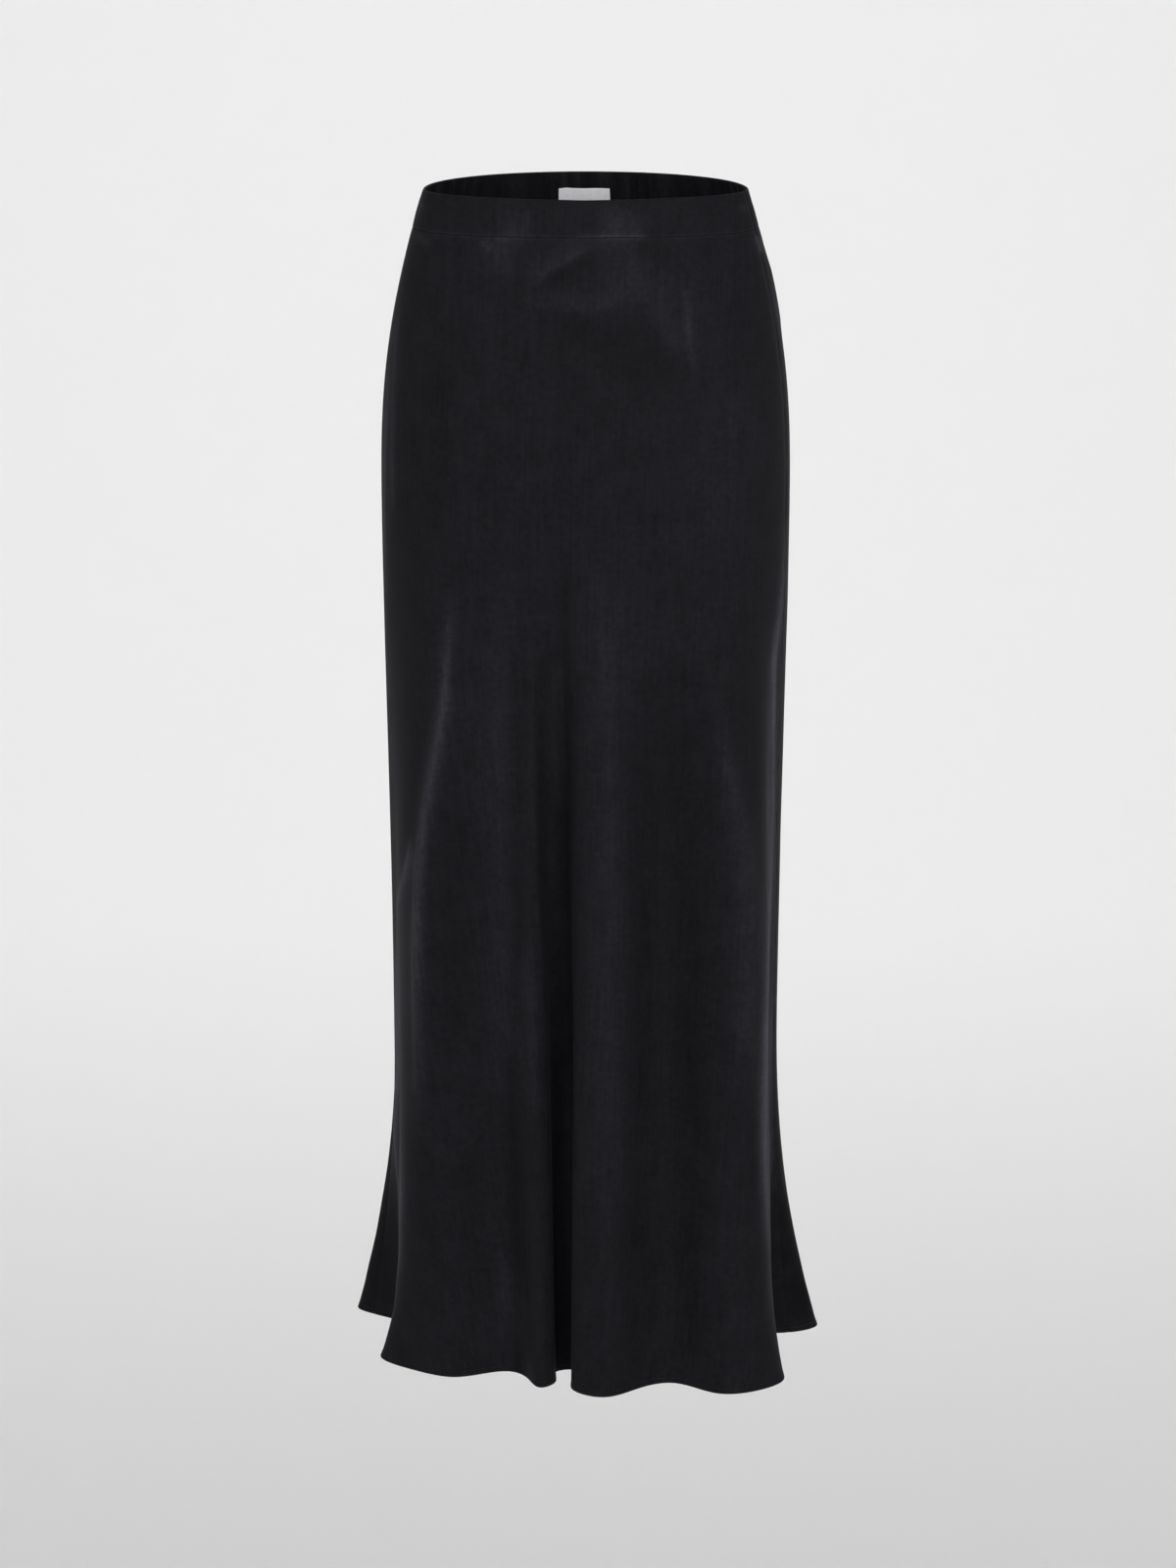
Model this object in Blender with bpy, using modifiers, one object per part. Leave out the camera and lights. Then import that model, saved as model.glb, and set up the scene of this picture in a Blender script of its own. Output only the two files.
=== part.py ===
"""Slip skirt: a long bias-cut skirt, filled out as if it were worn, with nobody in it.

Five pieces, as a maker would cut them: a front and a back panel, a plain front waistband, an
elasticated back waistband, and a bare label inside it. The cloth is one closed tube, and every
piece is a stretch of that tube's surface, given its thickness inwards.

Frame: metres, +Z up, front facing -Y, +X to the right of someone who looks at the front. The
origin is the middle of the waist opening, half way down the waistband, where a wearer holds it.
"""
from collections import namedtuple

import bpy
import numpy as np

# Driving dimensions
BAND_HEIGHT = 0.030
SKIRT_LENGTH = 0.939            # from the top of the waistband to the hem
PANEL_THICKNESS = 0.001
BAND_THICKNESS = 0.002          # two layers of cloth
SEAM_GAP = 0.0003               # between pieces that are sewn together
LABEL_WIDTH, LABEL_HEIGHT = 0.043, 0.016
LABEL_DROP = 0.0125             # from the top of the waistband to the label's top edge
LABEL_THICKNESS = 0.001
KICK_HEIGHT = 0.100             # above the hem, where some folds turn out
SOFT_START = 0.050              # height over which a fold comes out of the smooth cloth

RIM_Z = BAND_HEIGHT / 2
BAND_FOOT_Z = -BAND_HEIGHT / 2
HEM_Z = RIM_Z - SKIRT_LENGTH

# Mesh density
PANEL_ROWS = 18
BAND_ROWS = 1
BAND_COLUMNS = 40
COLUMN_WIDTH = 0.022            # widest column at the hem
EDGE_COLUMN = 0.0015            # narrow columns along the side seams keep both edges parallel
LABEL_COLUMNS = 8

# The smooth tube over waist and hips, before any fold. The front half reaches forward from the
# widest points to "front", the back half reaches back to "back", and a squareness of 2 is an
# ellipse, more is boxier.
Section = namedtuple("Section", "z half_width front back widest_y front_squareness back_squareness")
SECTIONS = [
    Section(0.015, 0.1263, -0.0860, 0.0860, -0.026, 2.25, 2.05),
    Section(-0.015, 0.1350, -0.0925, 0.0940, -0.024, 2.25, 2.05),
    Section(-0.060, 0.1460, -0.1030, 0.1070, -0.020, 2.25, 2.10),
    Section(-0.110, 0.1550, -0.1125, 0.1210, -0.015, 2.30, 2.15),
    Section(-0.165, 0.1602, -0.1185, 0.1300, -0.011, 2.35, 2.20),
    Section(-0.230, 0.1614, -0.1210, 0.1320, -0.008, 2.40, 2.20),
    Section(-0.340, 0.1600, -0.1225, 0.1270, -0.004, 2.45, 2.20),
    Section(-0.500, 0.1570, -0.1230, 0.1240, 0.000, 2.50, 2.20),
    Section(-0.700, 0.1550, -0.1240, 0.1250, 0.000, 2.50, 2.20),
    Section(HEM_Z, 0.1550, -0.1260, 0.1280, 0.000, 2.50, 2.20),
]
HIP_Z = -0.230                  # where the cloth lies smooth

# The folds, a row for each crest, each valley and each slope between them, from the left side
# seam round the front to the right one, then round the back. A fold line leaves the smooth tube
# at hip_angle (degrees from +X, against the clock from above) and height "starts", and reaches
# hem_x, hem_y at the hem. Its power is 1 where it widens evenly and more where it opens late,
# and kick_x, kick_y are the part of its reach that turns out just above the hem.
Fold = namedtuple("Fold", "name hip_angle hem_x hem_y starts power kick_x kick_y")
FRONT_FOLDS = [
    Fold("left seam", 177, -0.1755, 0.0150, -0.660, 1.9, 0.0, 0.0),
    Fold("left gully", 187, -0.1450, -0.0110, -0.680, 1.6, 0.0, 0.0),
    Fold("left cheek", 196, -0.1410, -0.0460, -0.660, 1.5, 0.0, 0.0),
    Fold("left corner", 205, -0.1660, -0.0840, -0.300, 1.1, -0.016, 0.003),
    Fold("left shoulder", 232, -0.1360, -0.1200, -0.260, 0.7, 0.0, 0.0),
    Fold("left cone", 240, -0.1010, -0.1345, -0.300, 1.0, 0.0, 0.0),
    Fold("left dip", 247, -0.0600, -0.1220, -0.560, 1.4, 0.0, 0.0),
    Fold("pleat rise", 251, -0.0475, -0.1350, -0.560, 1.4, 0.0, 0.0),
    Fold("pleat crest", 255, -0.0350, -0.1590, -0.300, 1.1, 0.0, -0.005),
    Fold("pleat fall", 258, -0.0240, -0.1460, -0.280, 0.8, 0.0, -0.004),
    Fold("valley left", 261, -0.0235, -0.1220, -0.260, 0.6, 0.0, 0.0),
    Fold("valley right", 264, -0.0090, -0.1180, -0.260, 0.5, 0.0, 0.0),
    Fold("overlap wall", 267, -0.0070, -0.1370, -0.260, 0.5, 0.0, 0.0),
    Fold("overlap edge", 270, -0.0110, -0.1620, -0.260, 0.6, 0.0, 0.0),
    Fold("right crest", 274, 0.0110, -0.1805, -0.260, 0.8, 0.0, 0.0),
    Fold("right slope", 281, 0.0470, -0.1565, -0.300, 1.2, 0.0, 0.0),
    Fold("right dip", 287, 0.0680, -0.1480, -0.420, 1.4, 0.0, 0.0),
    Fold("right cone", 297, 0.1060, -0.1725, -0.300, 1.2, 0.0, 0.0),
    Fold("right shoulder", 309, 0.1390, -0.1640, -0.260, 0.9, 0.0, 0.0),
    Fold("right corner", 330, 0.1580, -0.1420, -0.340, 1.0, 0.010, 0.0),
    Fold("right cheek", 336, 0.1460, -0.0980, -0.560, 1.3, 0.0, 0.0),
    Fold("right gully", 341, 0.1440, -0.0340, -0.640, 1.4, 0.0, 0.0),
    Fold("right seam", 346, 0.1665, -0.0300, -0.660, 1.9, 0.0, 0.0),
]
BACK_FOLDS = [
    Fold("right tip", 355, 0.1905, -0.0125, -0.670, 2.1, 0.0, 0.0),
    Fold("right back gully", 368, 0.1600, 0.0330, -0.600, 1.5, 0.0, 0.0),
    Fold("right back crest", 381, 0.1740, 0.0790, -0.560, 1.3, 0.0, 0.0),
    Fold("right back turn", 393, 0.1630, 0.1120, -0.480, 1.2, 0.0, 0.0),
    Fold("right back slope", 404, 0.1330, 0.1240, -0.440, 1.3, 0.0, 0.0),
    Fold("right back dip", 413, 0.1050, 0.1270, -0.400, 1.3, 0.0, 0.0),
    Fold("right fold rise", 422, 0.0850, 0.1600, -0.300, 1.2, 0.0, 0.0),
    Fold("right fold crest", 430, 0.0610, 0.1760, -0.300, 1.1, 0.0, 0.0),
    Fold("right fold fall", 437, 0.0420, 0.1560, -0.340, 1.2, 0.0, 0.0),
    Fold("back dip", 443, 0.0210, 0.1400, -0.360, 1.3, 0.0, 0.0),
    Fold("back fold rise", 449, 0.0080, 0.1700, -0.300, 1.2, 0.0, 0.0),
    Fold("back fold crest", 455, -0.0130, 0.1890, -0.280, 1.1, 0.0, 0.0),
    Fold("back fold fall", 461, -0.0350, 0.1740, -0.300, 1.2, 0.0, 0.0),
    Fold("left dip", 467, -0.0460, 0.1430, -0.340, 1.3, 0.0, 0.0),
    Fold("left fold rise", 473, -0.0660, 0.1560, -0.320, 1.2, 0.0, 0.0),
    Fold("left fold crest", 480, -0.0920, 0.1710, -0.300, 1.1, 0.0, 0.0),
    Fold("left fold fall", 488, -0.1130, 0.1540, -0.340, 1.2, 0.0, 0.0),
    Fold("left back dip", 496, -0.1220, 0.1240, -0.420, 1.3, 0.0, 0.0),
    Fold("left back crest", 505, -0.1500, 0.1210, -0.400, 1.2, 0.0, 0.0),
    Fold("left back turn", 514, -0.1690, 0.0990, -0.420, 1.2, 0.0, 0.0),
    Fold("left back gully", 523, -0.1600, 0.0660, -0.600, 1.5, 0.0, 0.0),
    Fold("left tip", 531, -0.1895, 0.0320, -0.640, 2.2, 0.0, 0.0),
]
FOLDS = FRONT_FOLDS + BACK_FOLDS
RIGHT_SEAM = len(FRONT_FOLDS) - 1


def cubic(knots, values, at, loop=False):
    """A cubic spline through values (rows, knots, channels) given at knots (rows, knots), read
    at the places at (rows, places). Its second derivative is zero at the ends, or, in a loop
    whose last value repeats the first, runs on smoothly."""
    h = np.diff(knots, axis=1)
    slope = np.diff(values, axis=1) / h[..., None]
    rows, count, channels = values.shape
    if loop:
        i = np.arange(count - 1)
        before, after = (i - 1) % (count - 1), (i + 1) % (count - 1)
        matrix = np.zeros((rows, count - 1, count - 1))
        matrix[:, i, before] += h[:, before]
        matrix[:, i, after] += h
        matrix[:, i, i] += 2 * (h[:, before] + h)
        bend = np.linalg.solve(matrix, 6 * (slope - slope[:, before]))
        bend = np.concatenate([bend, bend[:, :1]], axis=1)
    else:
        i = np.arange(1, count - 1)
        matrix = np.zeros((rows, count, count))
        matrix[:, 0, 0] = matrix[:, -1, -1] = 1
        matrix[:, i, i - 1] = h[:, :-1]
        matrix[:, i, i + 1] = h[:, 1:]
        matrix[:, i, i] = 2 * (h[:, :-1] + h[:, 1:])
        push = np.zeros((rows, count, channels))
        push[:, 1:-1] = 6 * np.diff(slope, axis=1)
        bend = np.linalg.solve(matrix, push)
    span = np.clip((at[:, :, None] >= knots[:, None, 1:-1]).sum(axis=2), 0, count - 2)
    row = np.arange(rows)[:, None]
    width = h[row, span][..., None]
    u = (at - knots[row, span])[..., None] / width
    straight = (1 - u) * values[row, span] + u * values[row, span + 1]
    curve = ((1 - u) ** 3 - (1 - u)) * bend[row, span] + (u ** 3 - u) * bend[row, span + 1]
    return straight + width ** 2 / 6 * curve


def closed(values):
    """Values (rows, knots, ...) with the first one repeated at the end."""
    return np.concatenate([values, values[:, :1]], axis=1)


def lengths_along(points):
    """Running length (rows, points) of each row of points (rows, points, 2)."""
    steps = np.linalg.norm(np.diff(points, axis=1), axis=2)
    return np.pad(np.cumsum(steps, axis=1), ((0, 0), (1, 0)))


def smooth_tube(z, angles):
    """x, y (heights, angles, 2) of the tube without folds: a superellipse whose sizes run
    smoothly through SECTIONS, with its own depth and squareness in front and behind."""
    table = np.array(sorted(SECTIONS))
    sizes = cubic(table[None, :, 0], table[None, :, 1:], np.atleast_1d(z)[None])[0]
    half_width, front, back, widest_y, front_square, back_square = sizes.T[:, :, None]
    cos, sin = np.cos(np.radians(angles))[None], np.sin(np.radians(angles))[None]
    power = 2 / np.where(sin < 0, front_square, back_square)
    depth = np.where(sin < 0, widest_y - front, back - widest_y)
    x = half_width * np.sign(cos) * np.abs(cos) ** power
    y = widest_y + depth * np.sign(sin) * np.abs(sin) ** power
    return np.stack([x, y], axis=-1)


def fold_points(z):
    """x, y (heights, folds, 2) of every fold line: the smooth tube, plus the fold's reach times
    its run from start to hem raised to its power, plus its kick times the square of the run
    through the last KICK_HEIGHT. The run bends softly away from nothing round its start."""
    table = np.array([fold[1:] for fold in FOLDS])
    angle, starts, power = table[:, 0], table[:, 3], table[:, 4]
    hem, kick = table[:, 1:3], table[:, 5:7]
    below, whole = starts - z[:, None], starts - HEM_Z
    run = (below + np.hypot(below, SOFT_START)) / (whole + np.hypot(whole, SOFT_START))
    turn = np.clip(1 - (z - HEM_Z) / KICK_HEIGHT, 0, 1) ** 2
    reach = hem - kick - smooth_tube(HEM_Z, angle)
    return smooth_tube(z, angle) + (run ** power)[..., None] * reach + turn[:, None, None] * kick


def cloth(z, shares):
    """Points (heights, shares, 3) of the cloth's outer face. Each height is a closed cubic
    spline through the fold lines. A share runs from 0 at the left side seam to 1 at the right
    one, and on to 2 round the back, in even lengths, so it stays on one line of the cloth."""
    line = closed(fold_points(z))
    knots = lengths_along(line)
    front = knots[:, RIGHT_SEAM:RIGHT_SEAM + 1]
    shares = shares % 2
    at = np.where(shares < 1, shares * front, front + (shares - 1) * (knots[:, -1:] - front))
    xy = cubic(knots, line, at, loop=True)
    height = np.broadcast_to(z[:, None, None], xy.shape[:2] + (1,))
    return np.concatenate([xy, height], axis=2)


def outward(z, shares, step=0.0005):
    """Unit normals (heights, shares, 3) of the cloth, from small steps along and across it."""
    along = cloth(z, shares + step) - cloth(z, shares - step)
    across = cloth(z + step, shares) - cloth(z - step, shares)
    normal = np.cross(along, across)
    return normal / np.linalg.norm(normal, axis=2, keepdims=True)


def panel_shares(first, last):
    """Shares of a panel's columns from fold first to fold last, at least two to each span."""
    hem = lengths_along(closed(fold_points(np.array([HEM_Z]))))[0]
    shares = []
    for fold in range(first, last):
        count = max(2, int(np.ceil((hem[fold + 1] - hem[fold]) / COLUMN_WIDTH)))
        shares.extend(np.linspace(hem[fold], hem[fold + 1], count, endpoint=False))
    shares = (np.array(shares + [hem[last]]) - hem[first]) / (hem[last] - hem[first])
    return shares + (first > 0)


def inside_seams(shares, z):
    """Shares with both ends moved in by half a seam gap, as wide as it is at z, and a narrow
    column beside each end."""
    length = lengths_along(cloth(np.array([z]), np.linspace(shares[0], shares[-1], 200))[..., :2])
    gap, edge = np.array([SEAM_GAP / 2, EDGE_COLUMN]) / length[0, -1]
    low, high = shares[0] + gap, shares[-1] - gap
    return np.concatenate([[low, low + edge], shares[1:-1], [high - edge, high]])


def material(name, color, roughness):
    """A plain cloth with its colour and roughness."""
    made = bpy.data.materials.new(name)
    made.use_nodes = True
    shader = made.node_tree.nodes["Principled BSDF"]
    shader.inputs["Base Color"].default_value = (*color, 1.0)
    shader.inputs["Roughness"].default_value = roughness
    shader.inputs["Metallic"].default_value = 0.0
    return made


def add_wall(name, points, thickness, finish):
    """An object from an open grid of points (rows from the top, columns against the clock from
    above), with its outer face there and its thickness inwards."""
    rows, columns = points.shape[:2]
    corner = np.arange(rows * columns).reshape(rows, columns)
    faces = np.stack([corner[:-1, :-1], corner[1:, :-1], corner[1:, 1:], corner[:-1, 1:]], axis=-1)
    mesh = bpy.data.meshes.new(name)
    mesh.from_pydata(points.reshape(-1, 3).tolist(), [], faces.reshape(-1, 4).tolist())
    mesh.shade_smooth()
    mesh.materials.append(finish)
    wall = bpy.data.objects.new(name, mesh)
    solidify = wall.modifiers.new("Thickness", "SOLIDIFY")
    solidify.thickness = thickness
    solidify.offset = -1.0
    bpy.data.collections["slip_skirt"].objects.link(wall)


def add_panel(name, first, last, finish):
    """A skirt panel between two side seams, from just under the waistband to the hem."""
    z = np.linspace(BAND_FOOT_Z - SEAM_GAP / 2, HEM_Z, PANEL_ROWS + 1)
    shares = inside_seams(panel_shares(first, last), HIP_Z)
    add_wall(name, cloth(z, shares), PANEL_THICKNESS, finish)


def add_band(name, start, finish):
    """Half of the waistband, from share start to the next side seam."""
    z = np.linspace(RIM_Z, BAND_FOOT_Z + SEAM_GAP / 2, BAND_ROWS + 1)
    shares = inside_seams(np.linspace(start, start + 1, BAND_COLUMNS + 1), RIM_Z)
    add_wall(name, cloth(z, shares), BAND_THICKNESS, finish)


def add_label(finish):
    """The label, bent to the inside of the back waistband at its middle."""
    top = RIM_Z - LABEL_DROP
    z = np.array([top, top - LABEL_HEIGHT])
    shares = np.linspace(1.3, 1.7, 201)
    across = cloth(z[:1], shares)[0, :, 0]
    edges = np.linspace(LABEL_WIDTH / 2, -LABEL_WIDTH / 2, LABEL_COLUMNS + 1)
    shares = np.interp(edges, across[::-1], shares[::-1])
    inner = cloth(z, shares) - (BAND_THICKNESS + SEAM_GAP) * outward(z, shares)
    add_wall("label", inner, LABEL_THICKNESS, finish)


for existing in list(bpy.data.objects):
    bpy.data.objects.remove(existing)
bpy.context.scene.collection.children.link(bpy.data.collections.new("slip_skirt"))

black_cloth = material("sand_washed_cupro", (0.0116, 0.0116, 0.0137), 0.62)
white_tape = material("woven_label_tape", (0.80, 0.80, 0.80), 0.75)

add_panel("front_panel", 0, RIGHT_SEAM, black_cloth)
add_panel("back_panel", RIGHT_SEAM, len(FOLDS), black_cloth)
add_band("front_waistband", 0, black_cloth)
add_band("back_waistband", 1, black_cloth)
add_label(white_tape)
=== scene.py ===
"""The looks of a slip skirt: black sand-washed cupro, cut on the bias and filled out as if it were
worn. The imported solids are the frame. Each piece of cloth here is a thin closed wall on the form
of its solid, with the seams, the turned hem, the gathers and the creases of the real one.

Metres, +Z up, the front facing -Y, the origin in the middle of the waist opening.
"""
from collections import namedtuple

import bpy
import numpy as np
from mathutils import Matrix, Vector


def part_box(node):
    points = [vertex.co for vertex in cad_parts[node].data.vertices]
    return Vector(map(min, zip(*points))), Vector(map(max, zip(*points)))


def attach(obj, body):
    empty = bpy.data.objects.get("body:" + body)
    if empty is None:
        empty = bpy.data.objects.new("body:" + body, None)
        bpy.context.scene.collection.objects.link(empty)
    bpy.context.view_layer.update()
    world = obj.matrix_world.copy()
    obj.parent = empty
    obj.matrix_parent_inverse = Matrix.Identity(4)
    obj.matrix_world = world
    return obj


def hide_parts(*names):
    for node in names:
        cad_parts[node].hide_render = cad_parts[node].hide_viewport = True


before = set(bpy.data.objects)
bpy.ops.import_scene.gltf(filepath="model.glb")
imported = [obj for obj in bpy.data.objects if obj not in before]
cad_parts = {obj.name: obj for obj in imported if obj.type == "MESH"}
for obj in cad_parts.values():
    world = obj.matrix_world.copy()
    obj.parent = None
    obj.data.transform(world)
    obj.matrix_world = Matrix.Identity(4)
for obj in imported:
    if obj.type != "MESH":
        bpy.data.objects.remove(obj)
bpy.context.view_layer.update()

# ---------------------------------------- Camera
# A catalogue view: 4 m in front of the waist and half a metre above it, looking down on the
# skirt by 14 degrees, so that the inside of the back waistband shows over the front one.
CAMERA_PLACE = (0.0019, -4.0, 0.5074)
CAMERA_PITCH = 13.706           # degrees below the horizon
CAMERA_LENS = 117.44            # mm, on a 36 mm sensor along the picture's long side

camera = bpy.data.objects.new("camera", bpy.data.cameras.new("camera"))
camera.data.lens = CAMERA_LENS
camera.data.sensor_width = 36.0
camera.location = CAMERA_PLACE
camera.rotation_euler = (np.radians(90 - CAMERA_PITCH), 0, 0)
bpy.context.scene.collection.objects.link(camera)
bpy.context.scene.camera = camera

# ---------------------------------------- Skirt panels
# Two panels of sand-washed cupro, front and back, cut on the bias and sewn at the sides. They lie
# smooth over the hips and fall from there in soft folds, which open towards the hem. The hem is
# turned up twice and stitched.
RIM_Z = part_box("front_waistband")[1].z
BAND_FOOT_Z = round(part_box("front_waistband")[0].z, 3)
HEM_Z = round(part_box("front_panel")[0].z, 3)
SEAM_GAP = 0.0003
CLOTH_THICKNESS = 0.0005
HEM_THICKNESS = 0.0012          # three layers
HEM_WIDTH = 0.0050
KICK_HEIGHT = 0.100             # above the hem, where some folds turn out
SOFT_START = 0.050              # height over which a fold comes out of the smooth cloth

# The smooth tube over waist and hips, before any fold. The front half reaches forward from the
# widest points to "front", the back half reaches back to "back", and a squareness of 2 is an
# ellipse, more is boxier.
Section = namedtuple("Section", "z half_width front back widest_y front_squareness back_squareness")
SECTIONS = [
    Section(0.015, 0.1263, -0.0860, 0.0860, -0.026, 2.25, 2.05),
    Section(-0.015, 0.1350, -0.0925, 0.0940, -0.024, 2.25, 2.05),
    Section(-0.060, 0.1460, -0.1030, 0.1070, -0.020, 2.25, 2.10),
    Section(-0.110, 0.1550, -0.1125, 0.1210, -0.015, 2.30, 2.15),
    Section(-0.165, 0.1602, -0.1185, 0.1300, -0.011, 2.35, 2.20),
    Section(-0.230, 0.1614, -0.1210, 0.1320, -0.008, 2.40, 2.20),
    Section(-0.340, 0.1600, -0.1225, 0.1270, -0.004, 2.45, 2.20),
    Section(-0.500, 0.1570, -0.1230, 0.1240, 0.000, 2.50, 2.20),
    Section(-0.700, 0.1550, -0.1240, 0.1250, 0.000, 2.50, 2.20),
    Section(-0.924, 0.1550, -0.1260, 0.1280, 0.000, 2.50, 2.20),
]

# The folds, a row for each crest, each valley and each slope between them, from the left side
# seam round the front to the right one, then round the back. A fold line leaves the smooth tube
# at hip_angle (degrees from +X, against the clock from above) and height "starts", and reaches
# hem_x, hem_y at the hem. Its power is 1 where it widens evenly and more where it opens late,
# and kick_x, kick_y are the part of its reach that turns out just above the hem.
Fold = namedtuple("Fold", "name hip_angle hem_x hem_y starts power kick_x kick_y")
FRONT_FOLDS = [
    Fold("left seam", 177, -0.1755, 0.0150, -0.660, 1.9, 0.0, 0.0),
    Fold("left gully", 187, -0.1450, -0.0110, -0.680, 1.6, 0.0, 0.0),
    Fold("left cheek", 196, -0.1410, -0.0460, -0.660, 1.5, 0.0, 0.0),
    Fold("left corner", 205, -0.1660, -0.0840, -0.300, 1.1, -0.016, 0.003),
    Fold("left shoulder", 232, -0.1360, -0.1200, -0.260, 0.7, 0.0, 0.0),
    Fold("left cone", 240, -0.1010, -0.1345, -0.300, 1.0, 0.0, 0.0),
    Fold("left dip", 247, -0.0600, -0.1220, -0.560, 1.4, 0.0, 0.0),
    Fold("pleat rise", 251, -0.0475, -0.1350, -0.560, 1.4, 0.0, 0.0),
    Fold("pleat crest", 255, -0.0350, -0.1590, -0.300, 1.1, 0.0, -0.005),
    Fold("pleat fall", 258, -0.0240, -0.1460, -0.280, 0.8, 0.0, -0.004),
    Fold("valley left", 261, -0.0235, -0.1220, -0.260, 0.6, 0.0, 0.0),
    Fold("valley right", 264, -0.0090, -0.1180, -0.260, 0.5, 0.0, 0.0),
    Fold("overlap wall", 267, -0.0070, -0.1370, -0.260, 0.5, 0.0, 0.0),
    Fold("overlap edge", 270, -0.0110, -0.1620, -0.260, 0.6, 0.0, 0.0),
    Fold("right crest", 274, 0.0110, -0.1805, -0.260, 0.8, 0.0, 0.0),
    Fold("right slope", 281, 0.0470, -0.1565, -0.300, 1.2, 0.0, 0.0),
    Fold("right dip", 287, 0.0680, -0.1480, -0.420, 1.4, 0.0, 0.0),
    Fold("right cone", 297, 0.1060, -0.1725, -0.300, 1.2, 0.0, 0.0),
    Fold("right shoulder", 309, 0.1390, -0.1640, -0.260, 0.9, 0.0, 0.0),
    Fold("right corner", 330, 0.1580, -0.1420, -0.340, 1.0, 0.010, 0.0),
    Fold("right cheek", 336, 0.1460, -0.0980, -0.560, 1.3, 0.0, 0.0),
    Fold("right gully", 341, 0.1440, -0.0340, -0.640, 1.4, 0.0, 0.0),
    Fold("right seam", 346, 0.1665, -0.0300, -0.660, 1.9, 0.0, 0.0),
]
BACK_FOLDS = [
    Fold("right tip", 355, 0.1905, -0.0125, -0.670, 2.1, 0.0, 0.0),
    Fold("right back gully", 368, 0.1600, 0.0330, -0.600, 1.5, 0.0, 0.0),
    Fold("right back crest", 381, 0.1740, 0.0790, -0.560, 1.3, 0.0, 0.0),
    Fold("right back turn", 393, 0.1630, 0.1120, -0.480, 1.2, 0.0, 0.0),
    Fold("right back slope", 404, 0.1330, 0.1240, -0.440, 1.3, 0.0, 0.0),
    Fold("right back dip", 413, 0.1050, 0.1270, -0.400, 1.3, 0.0, 0.0),
    Fold("right fold rise", 422, 0.0850, 0.1600, -0.300, 1.2, 0.0, 0.0),
    Fold("right fold crest", 430, 0.0610, 0.1760, -0.300, 1.1, 0.0, 0.0),
    Fold("right fold fall", 437, 0.0420, 0.1560, -0.340, 1.2, 0.0, 0.0),
    Fold("back dip", 443, 0.0210, 0.1400, -0.360, 1.3, 0.0, 0.0),
    Fold("back fold rise", 449, 0.0080, 0.1700, -0.300, 1.2, 0.0, 0.0),
    Fold("back fold crest", 455, -0.0130, 0.1890, -0.280, 1.1, 0.0, 0.0),
    Fold("back fold fall", 461, -0.0350, 0.1740, -0.300, 1.2, 0.0, 0.0),
    Fold("left dip", 467, -0.0460, 0.1430, -0.340, 1.3, 0.0, 0.0),
    Fold("left fold rise", 473, -0.0660, 0.1560, -0.320, 1.2, 0.0, 0.0),
    Fold("left fold crest", 480, -0.0920, 0.1710, -0.300, 1.1, 0.0, 0.0),
    Fold("left fold fall", 488, -0.1130, 0.1540, -0.340, 1.2, 0.0, 0.0),
    Fold("left back dip", 496, -0.1220, 0.1240, -0.420, 1.3, 0.0, 0.0),
    Fold("left back crest", 505, -0.1500, 0.1210, -0.400, 1.2, 0.0, 0.0),
    Fold("left back turn", 514, -0.1690, 0.0990, -0.420, 1.2, 0.0, 0.0),
    Fold("left back gully", 523, -0.1600, 0.0660, -0.600, 1.5, 0.0, 0.0),
    Fold("left tip", 531, -0.1895, 0.0320, -0.640, 2.2, 0.0, 0.0),
]
FOLDS = FRONT_FOLDS + BACK_FOLDS
RIGHT_SEAM = len(FRONT_FOLDS) - 1

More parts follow.
